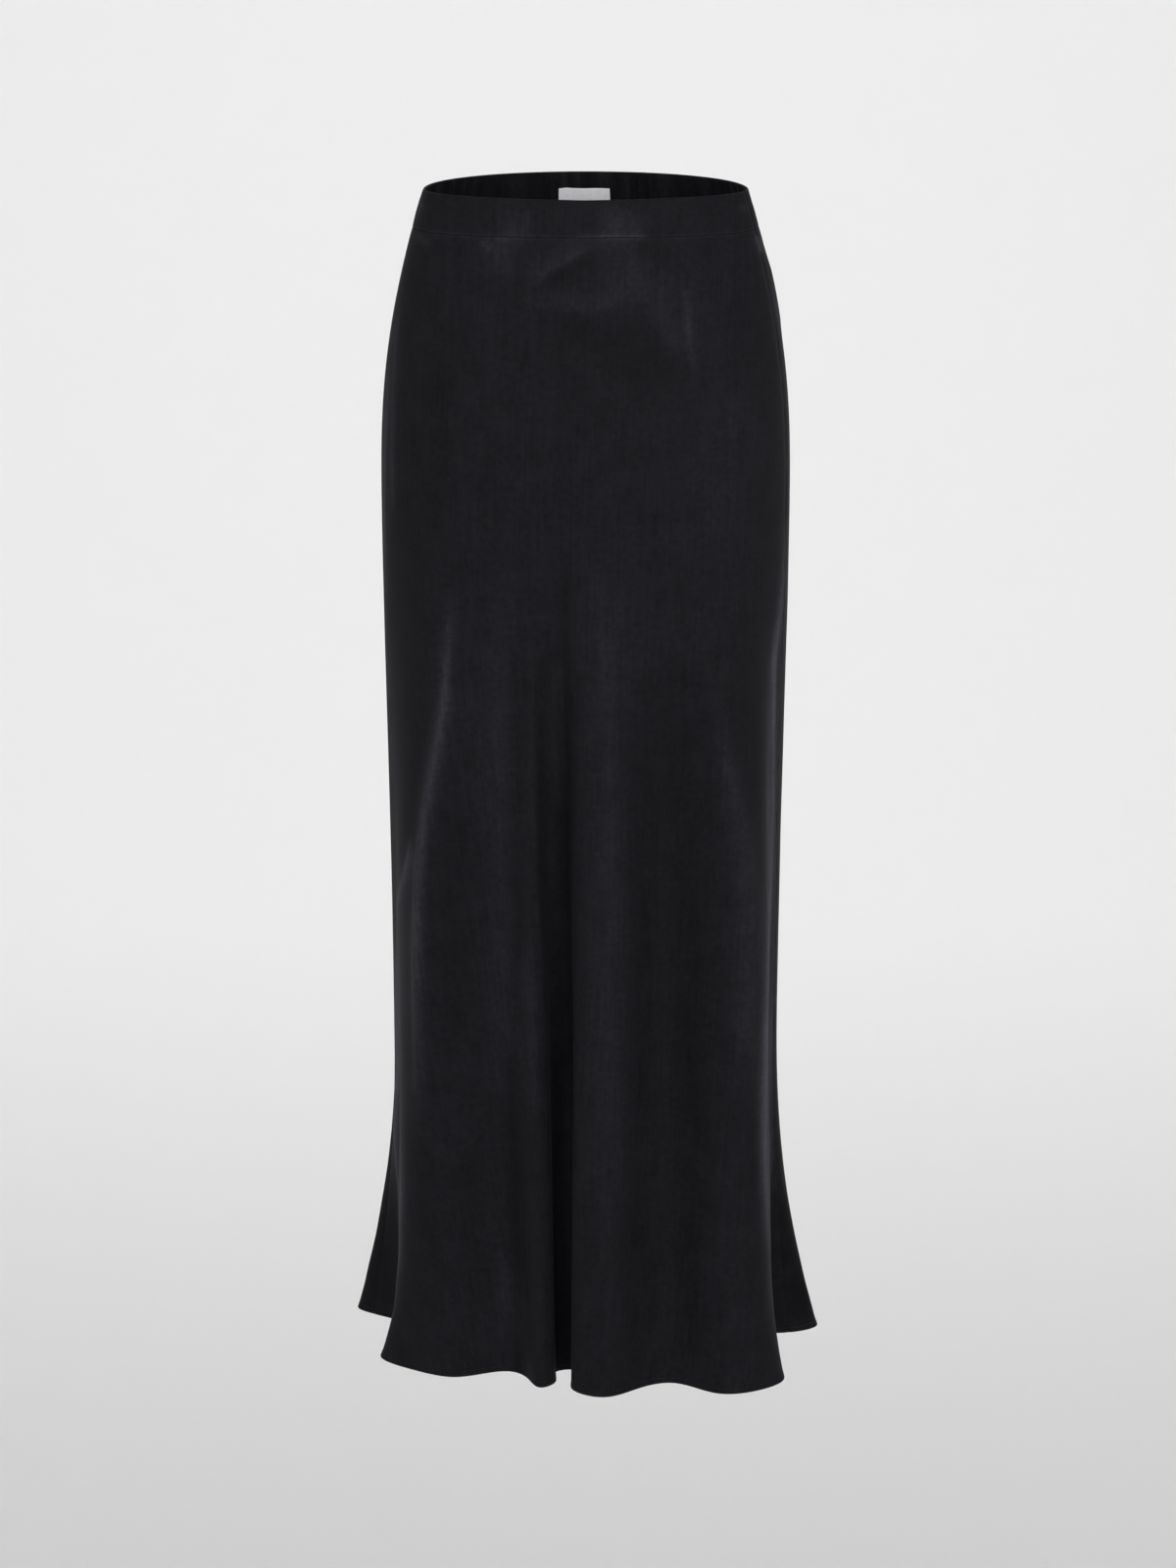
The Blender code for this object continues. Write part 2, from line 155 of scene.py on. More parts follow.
# Creases that are finer than the folds: ridges, or troughs where the height is less than zero. A
# crease is seen from its side of the skirt, and path is its line there from the top down, as
# pairs of (distance across, z) in metres. It falls away over "left" and over "right", the sides
# that a path has when it runs down, its crest is rounded over "soft", and its ends fade out. The
# last column is painted light in the cloth's colour: a painted highlight that makes the crease
# paler by that much, or painted shade that makes it darker where that is less than zero.
Crease = namedtuple("Crease", "side path height left right soft worn")
CREASES = [
    # the two long edges of the front, where the cloth turns to the sides, with painted highlights along
    # their crests and walls, and painted shade in a trough on the right side
    Crease("front", [(-0.103, -0.300), (-0.109, -0.368), (-0.116, -0.415), (-0.123, -0.463),
                     (-0.129, -0.520), (-0.1305, -0.600), (-0.131, -0.680), (-0.132, -0.745)],
           0.0050, 0.004, 0.035, 0.0012, 0.0),
    Crease("front", [(-0.104, -0.285), (-0.106, -0.320), (-0.110, -0.379), (-0.115, -0.414),
                     (-0.122, -0.458), (-0.127, -0.504), (-0.130, -0.569), (-0.132, -0.674),
                     (-0.134, -0.740)], 0.0018, 0.004, 0.0025, 0.0018, 0.48),
    Crease("front", [(-0.140, -0.520), (-0.141, -0.600), (-0.142, -0.680), (-0.141, -0.760)],
           0.0008, 0.006, 0.008, 0.004, 0.12),
    Crease("front", [(0.088, -0.290), (0.097, -0.335), (0.107, -0.390), (0.114, -0.440), (0.121, -0.480),
                     (0.127, -0.530), (0.129, -0.575), (0.126, -0.625), (0.128, -0.675), (0.134, -0.730)],
           0.0045, 0.035, 0.010, 0.003, 0.0),
    Crease("front", [(0.088, -0.300), (0.098, -0.362), (0.107, -0.408), (0.112, -0.430), (0.118, -0.460),
                     (0.123, -0.486), (0.127, -0.530), (0.1275, -0.564), (0.125, -0.618), (0.129, -0.660),
                     (0.132, -0.697), (0.137, -0.745)], 0.0014, 0.012, 0.005, 0.004, 0.20),
    Crease("front", [(0.1575, -0.225), (0.1560, -0.280), (0.1515, -0.325), (0.1480, -0.360),
                     (0.1480, -0.440), (0.1462, -0.520), (0.1425, -0.600), (0.1410, -0.680),
                     (0.1420, -0.755), (0.1450, -0.810), (0.1500, -0.870)],
           0.0012, 0.0018, 0.0018, 0.0013, 1.25),
    Crease("front", [(0.1490, -0.610), (0.1478, -0.680), (0.1486, -0.750), (0.1510, -0.810)],
           0.0008, 0.0012, 0.0012, 0.0008, 0.50),
    Crease("right", [(-0.030, -0.310), (-0.034, -0.420), (-0.030, -0.540)],
           -0.0010, 0.010, 0.010, 0.008, -0.60),
    Crease("front", [(-0.1480, -0.530), (-0.1510, -0.620), (-0.1505, -0.686), (-0.1485, -0.740),
                     (-0.1480, -0.806), (-0.1490, -0.870)], 0.0012, 0.0016, 0.0016, 0.0012, 0.85),
    # the soft ridges beside the centre valley, with painted highlights, and their troughs, with painted
    # shade
    Crease("front", [(-0.041, -0.300), (-0.042, -0.390), (-0.042, -0.470), (-0.043, -0.560),
                     (-0.040, -0.680), (-0.038, -0.770)], 0.0014, 0.003, 0.003, 0.0025, 0.10),
    Crease("front", [(-0.050, -0.300), (-0.051, -0.450), (-0.050, -0.600)],
           -0.0008, 0.004, 0.004, 0.003, -0.15),
    Crease("front", [(-0.033, -0.310), (-0.034, -0.450), (-0.035, -0.620)],
           -0.0008, 0.004, 0.004, 0.003, -0.15),
    Crease("front", [(-0.015, -0.360), (-0.015, -0.500), (-0.016, -0.640), (-0.021, -0.820)],
           -0.0004, 0.010, 0.004, 0.004, -0.35),
    Crease("front", [(-0.062, -0.230), (-0.063, -0.360), (-0.064, -0.480), (-0.064, -0.600),
                     (-0.061, -0.660), (-0.051, -0.740)], 0.0030, 0.014, 0.009, 0.006, 0.10),
    Crease("front", [(0.000, -0.230), (0.010, -0.300), (0.017, -0.360), (0.018, -0.474), (0.018, -0.591),
                     (0.017, -0.710), (0.014, -0.830)], 0.0025, 0.010, 0.022, 0.006, 0.10),
    Crease("front", [(0.060, -0.320), (0.072, -0.420), (0.078, -0.540), (0.079, -0.650), (0.082, -0.760)],
           -0.0040, 0.020, 0.022, 0.012, -0.25),
    Crease("front", [(0.080, -0.640), (0.087, -0.720), (0.080, -0.800), (0.066, -0.890)],
           -0.0012, 0.012, 0.010, 0.006, -0.15),
    Crease("front", [(-0.100, -0.440), (-0.101, -0.560), (-0.101, -0.680)],
           -0.0014, 0.010, 0.010, 0.006, -0.25),
    # the left of the front bends once more towards the hem, into the corner of the pleat, with a painted
    # highlight along the bend and painted shade beside it
    Crease("front", [(-0.082, -0.770), (-0.073, -0.810), (-0.062, -0.845), (-0.051, -0.888),
                     (-0.044, -0.930)], 0.0018, 0.016, 0.006, 0.003, 0.10),
    Crease("front", [(-0.096, -0.720), (-0.092, -0.790), (-0.080, -0.870)],
           -0.0014, 0.012, 0.012, 0.008, -0.20),
    # the cloth over the hips, a little lifted on the right and hollow on the left, and pulled into
    # fine creases along both sides; the hollow has painted shade and the creases painted highlights
    Crease("front", [(0.108, -0.100), (0.114, -0.190), (0.112, -0.290)], 0.0008, 0.024, 0.020, 0.012, 0.06),
    Crease("front", [(-0.112, -0.090), (-0.113, -0.170), (-0.113, -0.260)],
           -0.0008, 0.010, 0.008, 0.006, -0.20),
    Crease("front", [(-0.141, -0.060), (-0.147, -0.110), (-0.150, -0.180), (-0.150, -0.250)],
           0.0008, 0.0016, 0.0016, 0.0010, 0.25),
    Crease("front", [(-0.151, -0.110), (-0.155, -0.170), (-0.157, -0.240), (-0.156, -0.310)],
           0.0007, 0.0012, 0.0012, 0.0008, 0.35),
    # the small double crease under the left edge, and the cloth that bulges from the left gully, both
    # with painted highlights
    Crease("front", [(-0.1350, -0.485), (-0.1385, -0.507), (-0.1450, -0.535), (-0.1520, -0.575)],
           0.0018, 0.0014, 0.003, 0.0008, 0.7),
    Crease("left", [(-0.030, -0.690), (-0.036, -0.740), (-0.046, -0.800), (-0.058, -0.860),
                    (-0.066, -0.890)], 0.0060, 0.014, 0.012, 0.006, 0.2),
    # the tips at both ends of the hem, which hang in the shade of the front; that shade is painted into
    # their cloth as a darker colour, and the two small creases on the right tip have painted highlights
    Crease("front", [(-0.164, -0.780), (-0.174, -0.850), (-0.181, -0.930)],
           0.0006, 0.012, 0.010, 0.010, -0.45),
    Crease("front", [(0.166, -0.790), (0.178, -0.860), (0.186, -0.930)],
           0.0006, 0.012, 0.010, 0.010, -0.80),
    Crease("front", [(0.152, -0.872), (0.163, -0.870), (0.174, -0.864)], 0.0006, 0.003, 0.003, 0.002, 0.3),
    Crease("front", [(0.146, -0.838), (0.156, -0.836), (0.166, -0.830)], 0.0006, 0.003, 0.003, 0.002, 0.3),
    # the waistband pulls at the left and at the middle of the front, in small tents over its seam,
    # with painted highlights on them
    Crease("front", [(0.000, -0.0150), (0.026, -0.0145), (0.052, -0.0155)],
           0.0018, 0.004, 0.012, 0.004, 0.12),
    Crease("front", [(-0.012, -0.0142), (0.022, -0.0138), (0.056, -0.0142)],
           0.0004, 0.0008, 0.0012, 0.0005, 0.18),
    Crease("front", [(0.014, -0.0130), (0.027, -0.0020), (0.032, 0.0100)],
           0.0010, 0.006, 0.010, 0.003, 0.12),
    Crease("front", [(-0.072, -0.0150), (-0.056, -0.0140), (-0.040, -0.0150)],
           0.0014, 0.004, 0.011, 0.004, 0.14),
    Crease("front", [(-0.0440, 0.0070), (-0.0435, 0.0000), (-0.0440, -0.0120)],
           0.0005, 0.0030, 0.0014, 0.0012, 0.10),
    Crease("front", [(0.118, 0.0065), (0.1215, 0.0030), (0.1245, 0.0000)],
           0.0004, 0.0016, 0.0016, 0.0008, 0.2),
    Crease("front", [(-0.124, 0.0080), (-0.127, 0.0000), (-0.131, -0.0090)],
           0.0004, 0.0020, 0.0014, 0.0008, 0.2),
    # and throws slanting creases over the stomach, with painted highlights on their ridges and painted
    # shade in their troughs
    Crease("front", [(0.012, -0.016), (-0.004, -0.026), (-0.020, -0.035), (-0.034, -0.044),
                     (-0.044, -0.052)], 0.0016, 0.009, 0.003, 0.0015, 0.16),
    Crease("front", [(0.008, -0.025), (-0.012, -0.038), (-0.038, -0.052)],
           -0.0012, 0.002, 0.005, 0.002, -0.22),
    Crease("front", [(0.016, -0.012), (0.029, -0.032), (0.042, -0.050), (0.056, -0.074), (0.070, -0.100),
                     (0.082, -0.134)], 0.0020, 0.006, 0.024, 0.006, 0.10),
    Crease("front", [(0.036, -0.020), (0.054, -0.024), (0.070, -0.027)],
           -0.0008, 0.004, 0.004, 0.003, -0.25),
    Crease("front", [(-0.046, -0.054), (-0.028, -0.064), (-0.002, -0.067), (0.024, -0.060),
                     (0.046, -0.050)], 0.0019, 0.005, 0.014, 0.004, 0.14),
    Crease("front", [(-0.050, -0.082), (0.000, -0.088), (0.040, -0.104), (0.074, -0.140)],
           -0.0014, 0.020, 0.010, 0.010, -0.22),
    Crease("front", [(-0.064, -0.010), (-0.067, -0.030), (-0.064, -0.052)],
           0.0014, 0.007, 0.007, 0.005, 0.12),
    Crease("front", [(0.076, -0.048), (0.0775, -0.072), (0.079, -0.094), (0.083, -0.122)],
           0.0007, 0.0015, 0.003, 0.0010, 0.20),
    Crease("front", [(0.131, -0.018), (0.134, -0.026), (0.137, -0.035)],
           0.0006, 0.0015, 0.0015, 0.0008, 0.6),
    Crease("front", [(-0.134, -0.018), (-0.126, -0.021), (-0.118, -0.026)],
           0.0006, 0.002, 0.003, 0.0008, 0.2),
    Crease("front", [(-0.082, -0.017), (-0.077, -0.021), (-0.070, -0.026)],
           0.0006, 0.002, 0.003, 0.0008, 0.2),
    # similar ones on the hidden sides, with painted highlights and painted shade as well
    Crease("back", [(0.040, -0.018), (0.028, -0.036), (0.012, -0.060), (-0.008, -0.085)],
           0.0020, 0.018, 0.007, 0.004, 0.18),
    Crease("back", [(-0.050, -0.018), (-0.046, -0.040), (-0.034, -0.064)],
           0.0015, 0.008, 0.012, 0.004, 0.15),
    Crease("back", [(0.085, -0.060), (0.090, -0.120), (0.098, -0.190)], 0.0014, 0.012, 0.006, 0.004, 0.12),
    Crease("back", [(-0.104, -0.330), (-0.114, -0.430), (-0.122, -0.520), (-0.126, -0.620),
                    (-0.128, -0.720)], 0.0040, 0.004, 0.030, 0.0015, 0.0),
    Crease("back", [(-0.104, -0.330), (-0.114, -0.430), (-0.122, -0.520), (-0.126, -0.620),
                    (-0.128, -0.720)], 0.0014, 0.004, 0.003, 0.0025, 0.45),
    Crease("back", [(0.098, -0.310), (0.110, -0.400), (0.118, -0.500), (0.121, -0.600), (0.122, -0.700)],
           0.0040, 0.030, 0.008, 0.003, 0.15),
    Crease("back", [(0.028, -0.300), (0.032, -0.420), (0.036, -0.560), (0.040, -0.700)],
           0.0016, 0.004, 0.004, 0.0025, 0.15),
    Crease("back", [(-0.060, -0.320), (-0.064, -0.440), (-0.062, -0.580)],
           -0.0020, 0.014, 0.014, 0.008, -0.20),
    Crease("left", [(0.030, -0.040), (0.022, -0.075), (0.008, -0.115)], 0.0012, 0.010, 0.006, 0.003, 0.15),
    Crease("right", [(-0.030, -0.030), (-0.016, -0.070), (0.004, -0.110)],
           0.0014, 0.006, 0.012, 0.003, 0.15),
    Crease("right", [(0.020, -0.260), (0.026, -0.340), (0.030, -0.430), (0.028, -0.520)],
           0.0025, 0.014, 0.010, 0.004, 0.20),
    Crease("left", [(0.024, -0.300), (0.030, -0.380), (0.036, -0.470), (0.038, -0.560)],
           0.0025, 0.012, 0.012, 0.004, 0.20),
]
# A side's axis across, the axis it faces along, and which way along that.
SIDES = {"front": (0, 1, -1), "back": (0, 1, 1), "left": (1, 0, -1), "right": (1, 0, 1)}
PATH_STEPS = 47                 # straight steps along a crease's smooth path
CREASE_REACH = 4                # times its wider side, past which a crease isn't worked out
END_FADE = 3.5                  # a crease's end fades out over one part in this of its path
TURN_FADE = 8.0                 # how fast it fades as the cloth turns away from its side
SEAM_SAMPLES = 400


def cubic(knots, values, at, loop=False):
    """A cubic spline through values (rows, knots, channels) given at knots (rows, knots), read
    at the places at (rows, places). Its second derivative is zero at the ends, or, in a loop
    whose last value repeats the first, runs on smoothly."""
    h = np.diff(knots, axis=1)
    slope = np.diff(values, axis=1) / h[..., None]
    rows, count, channels = values.shape
    if loop:
        i = np.arange(count - 1)
        before, after = (i - 1) % (count - 1), (i + 1) % (count - 1)
        matrix = np.zeros((rows, count - 1, count - 1))
        matrix[:, i, before] += h[:, before]
        matrix[:, i, after] += h
        matrix[:, i, i] += 2 * (h[:, before] + h)
        bend = np.linalg.solve(matrix, 6 * (slope - slope[:, before]))
        bend = np.concatenate([bend, bend[:, :1]], axis=1)
    else:
        i = np.arange(1, count - 1)
        matrix = np.zeros((rows, count, count))
        matrix[:, 0, 0] = matrix[:, -1, -1] = 1
        matrix[:, i, i - 1] = h[:, :-1]
        matrix[:, i, i + 1] = h[:, 1:]
        matrix[:, i, i] = 2 * (h[:, :-1] + h[:, 1:])
        push = np.zeros((rows, count, channels))
        push[:, 1:-1] = 6 * np.diff(slope, axis=1)
        bend = np.linalg.solve(matrix, push)
    span = np.clip((at[:, :, None] >= knots[:, None, 1:-1]).sum(axis=2), 0, count - 2)
    row = np.arange(rows)[:, None]
    width = h[row, span][..., None]
    u = (at - knots[row, span])[..., None] / width
    straight = (1 - u) * values[row, span] + u * values[row, span + 1]
    curve = ((1 - u) ** 3 - (1 - u)) * bend[row, span] + (u ** 3 - u) * bend[row, span + 1]
    return straight + width ** 2 / 6 * curve


def lengths_along(points):
    """Running length (rows, points) of each row of points (rows, points, axes)."""
    steps = np.linalg.norm(np.diff(points, axis=1), axis=2)
    return np.pad(np.cumsum(steps, axis=1), ((0, 0), (1, 0)))


def smooth_tube(z, angles):
    """x, y (heights, angles, 2) of the tube without folds: a superellipse whose sizes run
    smoothly through SECTIONS, with its own depth and squareness in front and behind."""
    table = np.array(sorted(SECTIONS))
    sizes = cubic(table[None, :, 0], table[None, :, 1:], np.atleast_1d(z)[None])[0]
    half_width, front, back, widest_y, front_square, back_square = sizes.T[:, :, None]
    cos, sin = np.cos(np.radians(angles))[None], np.sin(np.radians(angles))[None]
    power = 2 / np.where(sin < 0, front_square, back_square)
    depth = np.where(sin < 0, widest_y - front, back - widest_y)
    x = half_width * np.sign(cos) * np.abs(cos) ** power
    y = widest_y + depth * np.sign(sin) * np.abs(sin) ** power
    return np.stack([x, y], axis=-1)


def fold_points(z):
    """x, y (heights, folds, 2) of every fold line: the smooth tube, plus the fold's reach times
    its run from start to hem raised to its power, plus its kick times the square of the run
    through the last KICK_HEIGHT. The run bends softly away from nothing round its start."""
    table = np.array([fold[1:] for fold in FOLDS])
    angle, starts, power = table[:, 0], table[:, 3], table[:, 4]
    hem, kick = table[:, 1:3], table[:, 5:7]
    below, whole = starts - z[:, None], starts - HEM_Z
    run = (below + np.hypot(below, SOFT_START)) / (whole + np.hypot(whole, SOFT_START))
    turn = np.clip(1 - (z - HEM_Z) / KICK_HEIGHT, 0, 1) ** 2
    reach = hem - kick - smooth_tube(HEM_Z, angle)
    return smooth_tube(z, angle) + (run ** power)[..., None] * reach + turn[:, None, None] * kick


def cloth(z, shares):
    """Points (heights, shares, 3) of the cloth's outer face. Each height is a closed cubic
    spline through the fold lines. A share runs from 0 at the left side seam to 1 at the right
    one, and on to 2 round the back, in even lengths, so it stays on one line of the cloth."""
    line = fold_points(z)
    line = np.concatenate([line, line[:, :1]], axis=1)
    knots = lengths_along(line)
    front = knots[:, RIGHT_SEAM:RIGHT_SEAM + 1]
    shares = shares % 2
    at = np.where(shares < 1, shares * front, front + (shares - 1) * (knots[:, -1:] - front))
    xy = cubic(knots, line, at, loop=True)
    height = np.broadcast_to(z[:, None, None], xy.shape[:2] + (1,))
    return np.concatenate([xy, height], axis=2)


def outward(z, shares, step=0.0004):
    """Unit normals (heights, shares, 3) of the cloth, from small steps along and across it."""
    along = cloth(z, shares + step) - cloth(z, shares - step)
    across = cloth(z + step, shares) - cloth(z - step, shares)
    normal = np.cross(along, across)
    return normal / np.linalg.norm(normal, axis=2, keepdims=True)


def seam_to_seam(z, start):
    """Length of the cloth from the side seam at share start to the next one, at one height."""
    return lengths_along(cloth(np.array([z]), np.linspace(start, start + 1, SEAM_SAMPLES)))[0, -1]


def crease_relief(points, normals):
    """Height and painted light of the creases over points (rows, columns). Each falls away from its
    smooth path as exp(-(sqrt(d^2 + soft^2) - soft) / reach), d being the distance square to the path
    and the reach that of the side, times a fade at its ends, on faces turned its way."""
    relief, worn = np.zeros(points.shape[:2]), np.zeros(points.shape[:2])
    for crease in CREASES:
        across, facing, sign = SIDES[crease.side]
        path = np.array(crease.path)[None]
        even = np.linspace(0, 1, path.shape[1])[None]
        line = cubic(even, path, np.linspace(0, 1, PATH_STEPS + 1)[None])[0]
        seen = np.stack([points[..., across], points[..., 2]], axis=-1)
        reach = CREASE_REACH * max(crease.left, crease.right)
        low, high = line.min(axis=0) - reach, line.max(axis=0) + reach
        near = ((seen > low) & (seen < high)).all(axis=2) & (normals[..., facing] * sign > 0)
        apart = seen[near][:, None] - line[None]
        nearest = np.linalg.norm(apart, axis=2).argmin(axis=1)
        apart = apart[np.arange(len(nearest)), nearest]
        run = np.gradient(line, axis=0)[nearest]
        step = np.linalg.norm(run, axis=1)
        beyond = (run[:, 0] * apart[:, 1] - run[:, 1] * apart[:, 0]) / step
        side = np.where(beyond < 0, crease.left, crease.right)
        at = (nearest + (run * apart).sum(axis=1) / step ** 2) / PATH_STEPS
        fade = np.clip(np.minimum(at, 1 - at) * END_FADE, 0, 1)
        fade = fade * fade * (3 - 2 * fade)
        turned = np.clip(normals[near][:, facing] * sign * TURN_FADE, 0, 1)
        shape = np.exp(-(np.hypot(beyond, crease.soft) - crease.soft) / side) * fade * turned
        relief[near] += crease.height * shape
        worn[near] += crease.worn * shape
    return relief, worn


def spaced(start, end, step, fine_start, fine_end):
    """Places from start to end, about a step apart, with the fine distances kept at the ends."""
    sign = np.sign(end - start)
    middle_from, middle_to = start + sign * fine_start[-1], end - sign * fine_end[-1]
    count = int(np.ceil(abs(middle_to - middle_from) / step))
    middle = np.linspace(middle_from, middle_to, count + 1)[1:-1]
    first, last = start + sign * np.array(fine_start), end - sign * np.array(fine_end)[::-1]
    return np.concatenate([first, middle, last])


def falling(distance, most, width):
    """What is most at an edge and falls away from it as exp(-distance / width)."""
    return most * np.exp(-distance / width)


def round_edge(distance, thickness):
    """Half the wall's thickness at a distance from its border: a half circle, then level."""
    radius = thickness / 2
    return radius * np.sqrt(1 - np.clip(1 - distance / radius, 0, 1) ** 2)


def smooth_mesh(name, vertices, faces, material):
    """An object of that name at the origin, whose mesh is shaded smooth, in one material."""
    mesh = bpy.data.meshes.new(name)
    mesh.from_pydata(vertices.tolist(), [], faces)
    mesh.shade_smooth()
    mesh.materials.append(material)
    made = bpy.data.objects.new(name, mesh)
    bpy.context.scene.collection.objects.link(made)
    return made


def wall(name, points, normals, relief, worn, thickness, border, material, inner_painted_light=0.0):
    """A closed wall. Its middle lies half a thickness behind points, moved out by the relief. Its
    two faces are that far from the middle as round_edge gives, and share their border. Its UV
    map is the flat cloth in metres: length along from the middle, and length down. Its outer
    and its inner face carry, as an attribute, how much the sand rubbed them paler and how much
    painted light they have."""
    half = round_edge(border, thickness)
    middle = points + (relief - thickness / 2)[..., None] * normals
    outer, inner = middle + half[..., None] * normals, middle - half[..., None] * normals
    rows, columns = relief.shape
    inside = np.zeros((rows, columns), bool)
    inside[1:-1, 1:-1] = True
    front = np.arange(rows * columns).reshape(rows, columns)
    back = front.copy()
    back[inside] = rows * columns + np.arange(inside.sum())
    corners = [(slice(None, -1), slice(None, -1)), (slice(1, None), slice(None, -1)),
               (slice(1, None), slice(1, None)), (slice(None, -1), slice(1, None))]
    out_faces = np.stack([front[corner] for corner in corners], axis=-1).reshape(-1, 4)
    in_faces = np.stack([back[corner] for corner in corners[::-1]], axis=-1).reshape(-1, 4)
    faces = np.concatenate([out_faces, in_faces])
    vertices = np.concatenate([outer.reshape(-1, 3), inner[inside]])
    along = lengths_along(points)
    along = along - along[:, -1:] / 2
    down = lengths_along(points.transpose(1, 0, 2)).T
    flat = np.stack([along, -down], axis=-1)
    flat = np.concatenate([flat.reshape(-1, 2), flat[inside]])
    light_and_wear = np.concatenate([worn.ravel(), (inner_painted_light + 0 * worn)[inside]])
    piece = smooth_mesh(name, vertices, faces.tolist(), material)
    piece.data.uv_layers.new(name="cloth").data.foreach_set("uv", flat[faces.ravel()].ravel())
    piece.data.attributes.new("worn", "FLOAT", "POINT").data.foreach_set("value", light_and_wear)
    return piece


def linear(hex_color):
    """An sRGB hex colour as linear red, green, blue, alpha."""
    srgb = np.array([int(hex_color[i:i + 2], 16) for i in (1, 3, 5)]) / 255
    value = np.where(srgb <= 0.04045, srgb / 12.92, ((srgb + 0.055) / 1.055) ** 2.4)
    return (*value.tolist(), 1.0)


def node(tree, kind, settings=None, **links):
    """Adds a node to a tree. Settings are its properties or, where it has none of that name, its
    inputs; a link gives an input the output socket it takes."""
    made = tree.nodes.new(kind)
    for key, value in (settings or {}).items():
        if hasattr(made, key):
            setattr(made, key, value)
        else:
            made.inputs[key].default_value = value
    for key, socket in links.items():
        tree.links.new(made.inputs[key.replace("_", " ")], socket)
    return made


# The cupro's patterns, as sizes in mm of what they draw. All but the clouds are several times
# coarser than the real cloth's, whose threads are 0.2 mm, so that they show.
NAP_TUFT = 4.1667
CLOUD = 22.222
STREAK_WIDTH, STREAK_LENGTH = 2.381, 62.5
RIB_WIDTH = 1.4286
RIB_STRETCH = 0.2               # a rib is five times as long as it is wide
# the cloth's black; the painted shade in troughs, hollows and the shaded hem tips; and the pale of rubbed
# edges and of painted highlights
PAINTED_SHADE_COLOUR, BLACK_DYE, RUBBED_AND_PAINTED_HIGHLIGHT_COLOUR = "#0a0a0c", "#1d1d21", "#484850"
CUPRO_ROUGHNESS = 0.65


